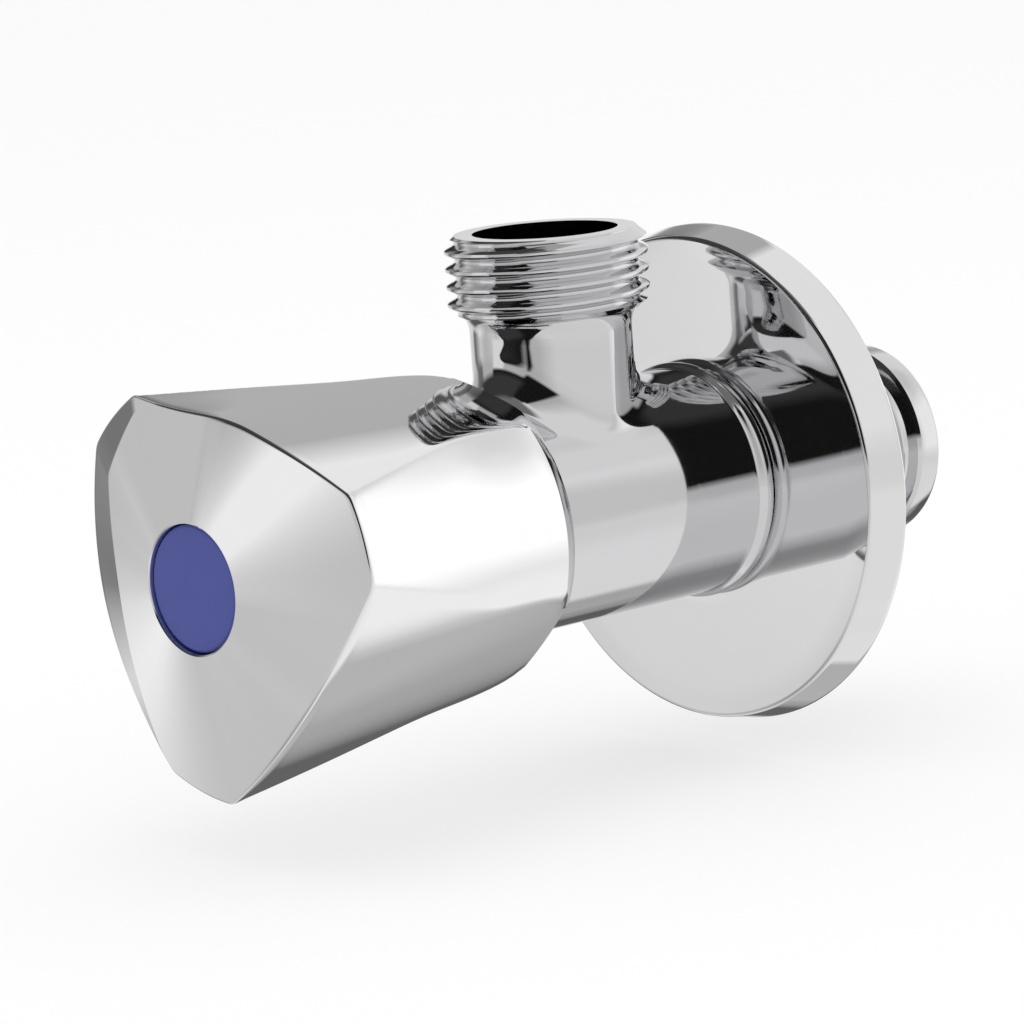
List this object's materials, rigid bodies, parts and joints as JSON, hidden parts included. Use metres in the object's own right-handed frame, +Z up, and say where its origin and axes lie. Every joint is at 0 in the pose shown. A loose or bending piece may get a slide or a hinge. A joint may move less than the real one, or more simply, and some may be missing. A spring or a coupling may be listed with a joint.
{
  "type": "angle valve",
  "caption": "Quarter-turn angle valve: threaded wall inlet, upright threaded outlet, rosette and three-lobed handle with a cold-water button.",
  "frame": {"origin": "on the inlet axis in the wall plane, which is the rear rim of the rosette at rest", "axes": "+Y along the inlet axis into the wall, -Y towards the handle, +Z up along the outlet axis, +X to the right seen from the handle"},
  "size_m": [0.0532, 0.0956, 0.0554],
  "materials": {
    "body_chrome": "polished chrome plate on brass",
    "rosette_chrome": "polished chrome plate on sheet",
    "handle_chrome": "polished chrome plate",
    "cartridge_brass": "turned",
    "spindle_brass": "turned",
    "seal_rubber": "matt",
    "disc_ceramic": "lapped ceramic",
    "white_polymer": "moulded",
    "fastener_steel": "plain steel",
    "button_blue": "gloss, moulded through"
  },
  "bodies": {
    "body": {"valve_body": "body_chrome", "cartridge_housing": "cartridge_brass", "cartridge_sleeve": "cartridge_brass", "disc_seal": "seal_rubber", "lower_disc": "disc_ceramic", "thrust_washer": "white_polymer", "housing_seal": "seal_rubber"},
    "rosette": {"rosette": "rosette_chrome"},
    "handle": {"handle": "handle_chrome", "index_button": "button_blue", "handle_screw": "fastener_steel", "lock_washer": "fastener_steel", "spline_insert": "white_polymer", "spindle": "spindle_brass", "spindle_seal_rear": "seal_rubber", "spindle_seal_front": "seal_rubber", "retaining_clip": "fastener_steel", "upper_disc": "disc_ceramic"}
  },
  "joints": [
    {"name": "handle_turn", "type": "hinge", "parent": "body", "child": "handle", "pos_m": [0, -0.05, 0], "axis": [0, -1, 0], "range_deg": [0, 90]},
    {"name": "rosette_slide", "type": "slide", "parent": "body", "child": "rosette", "axis": [0, 1, 0], "range_m": [0, 0.022]}
  ]
}
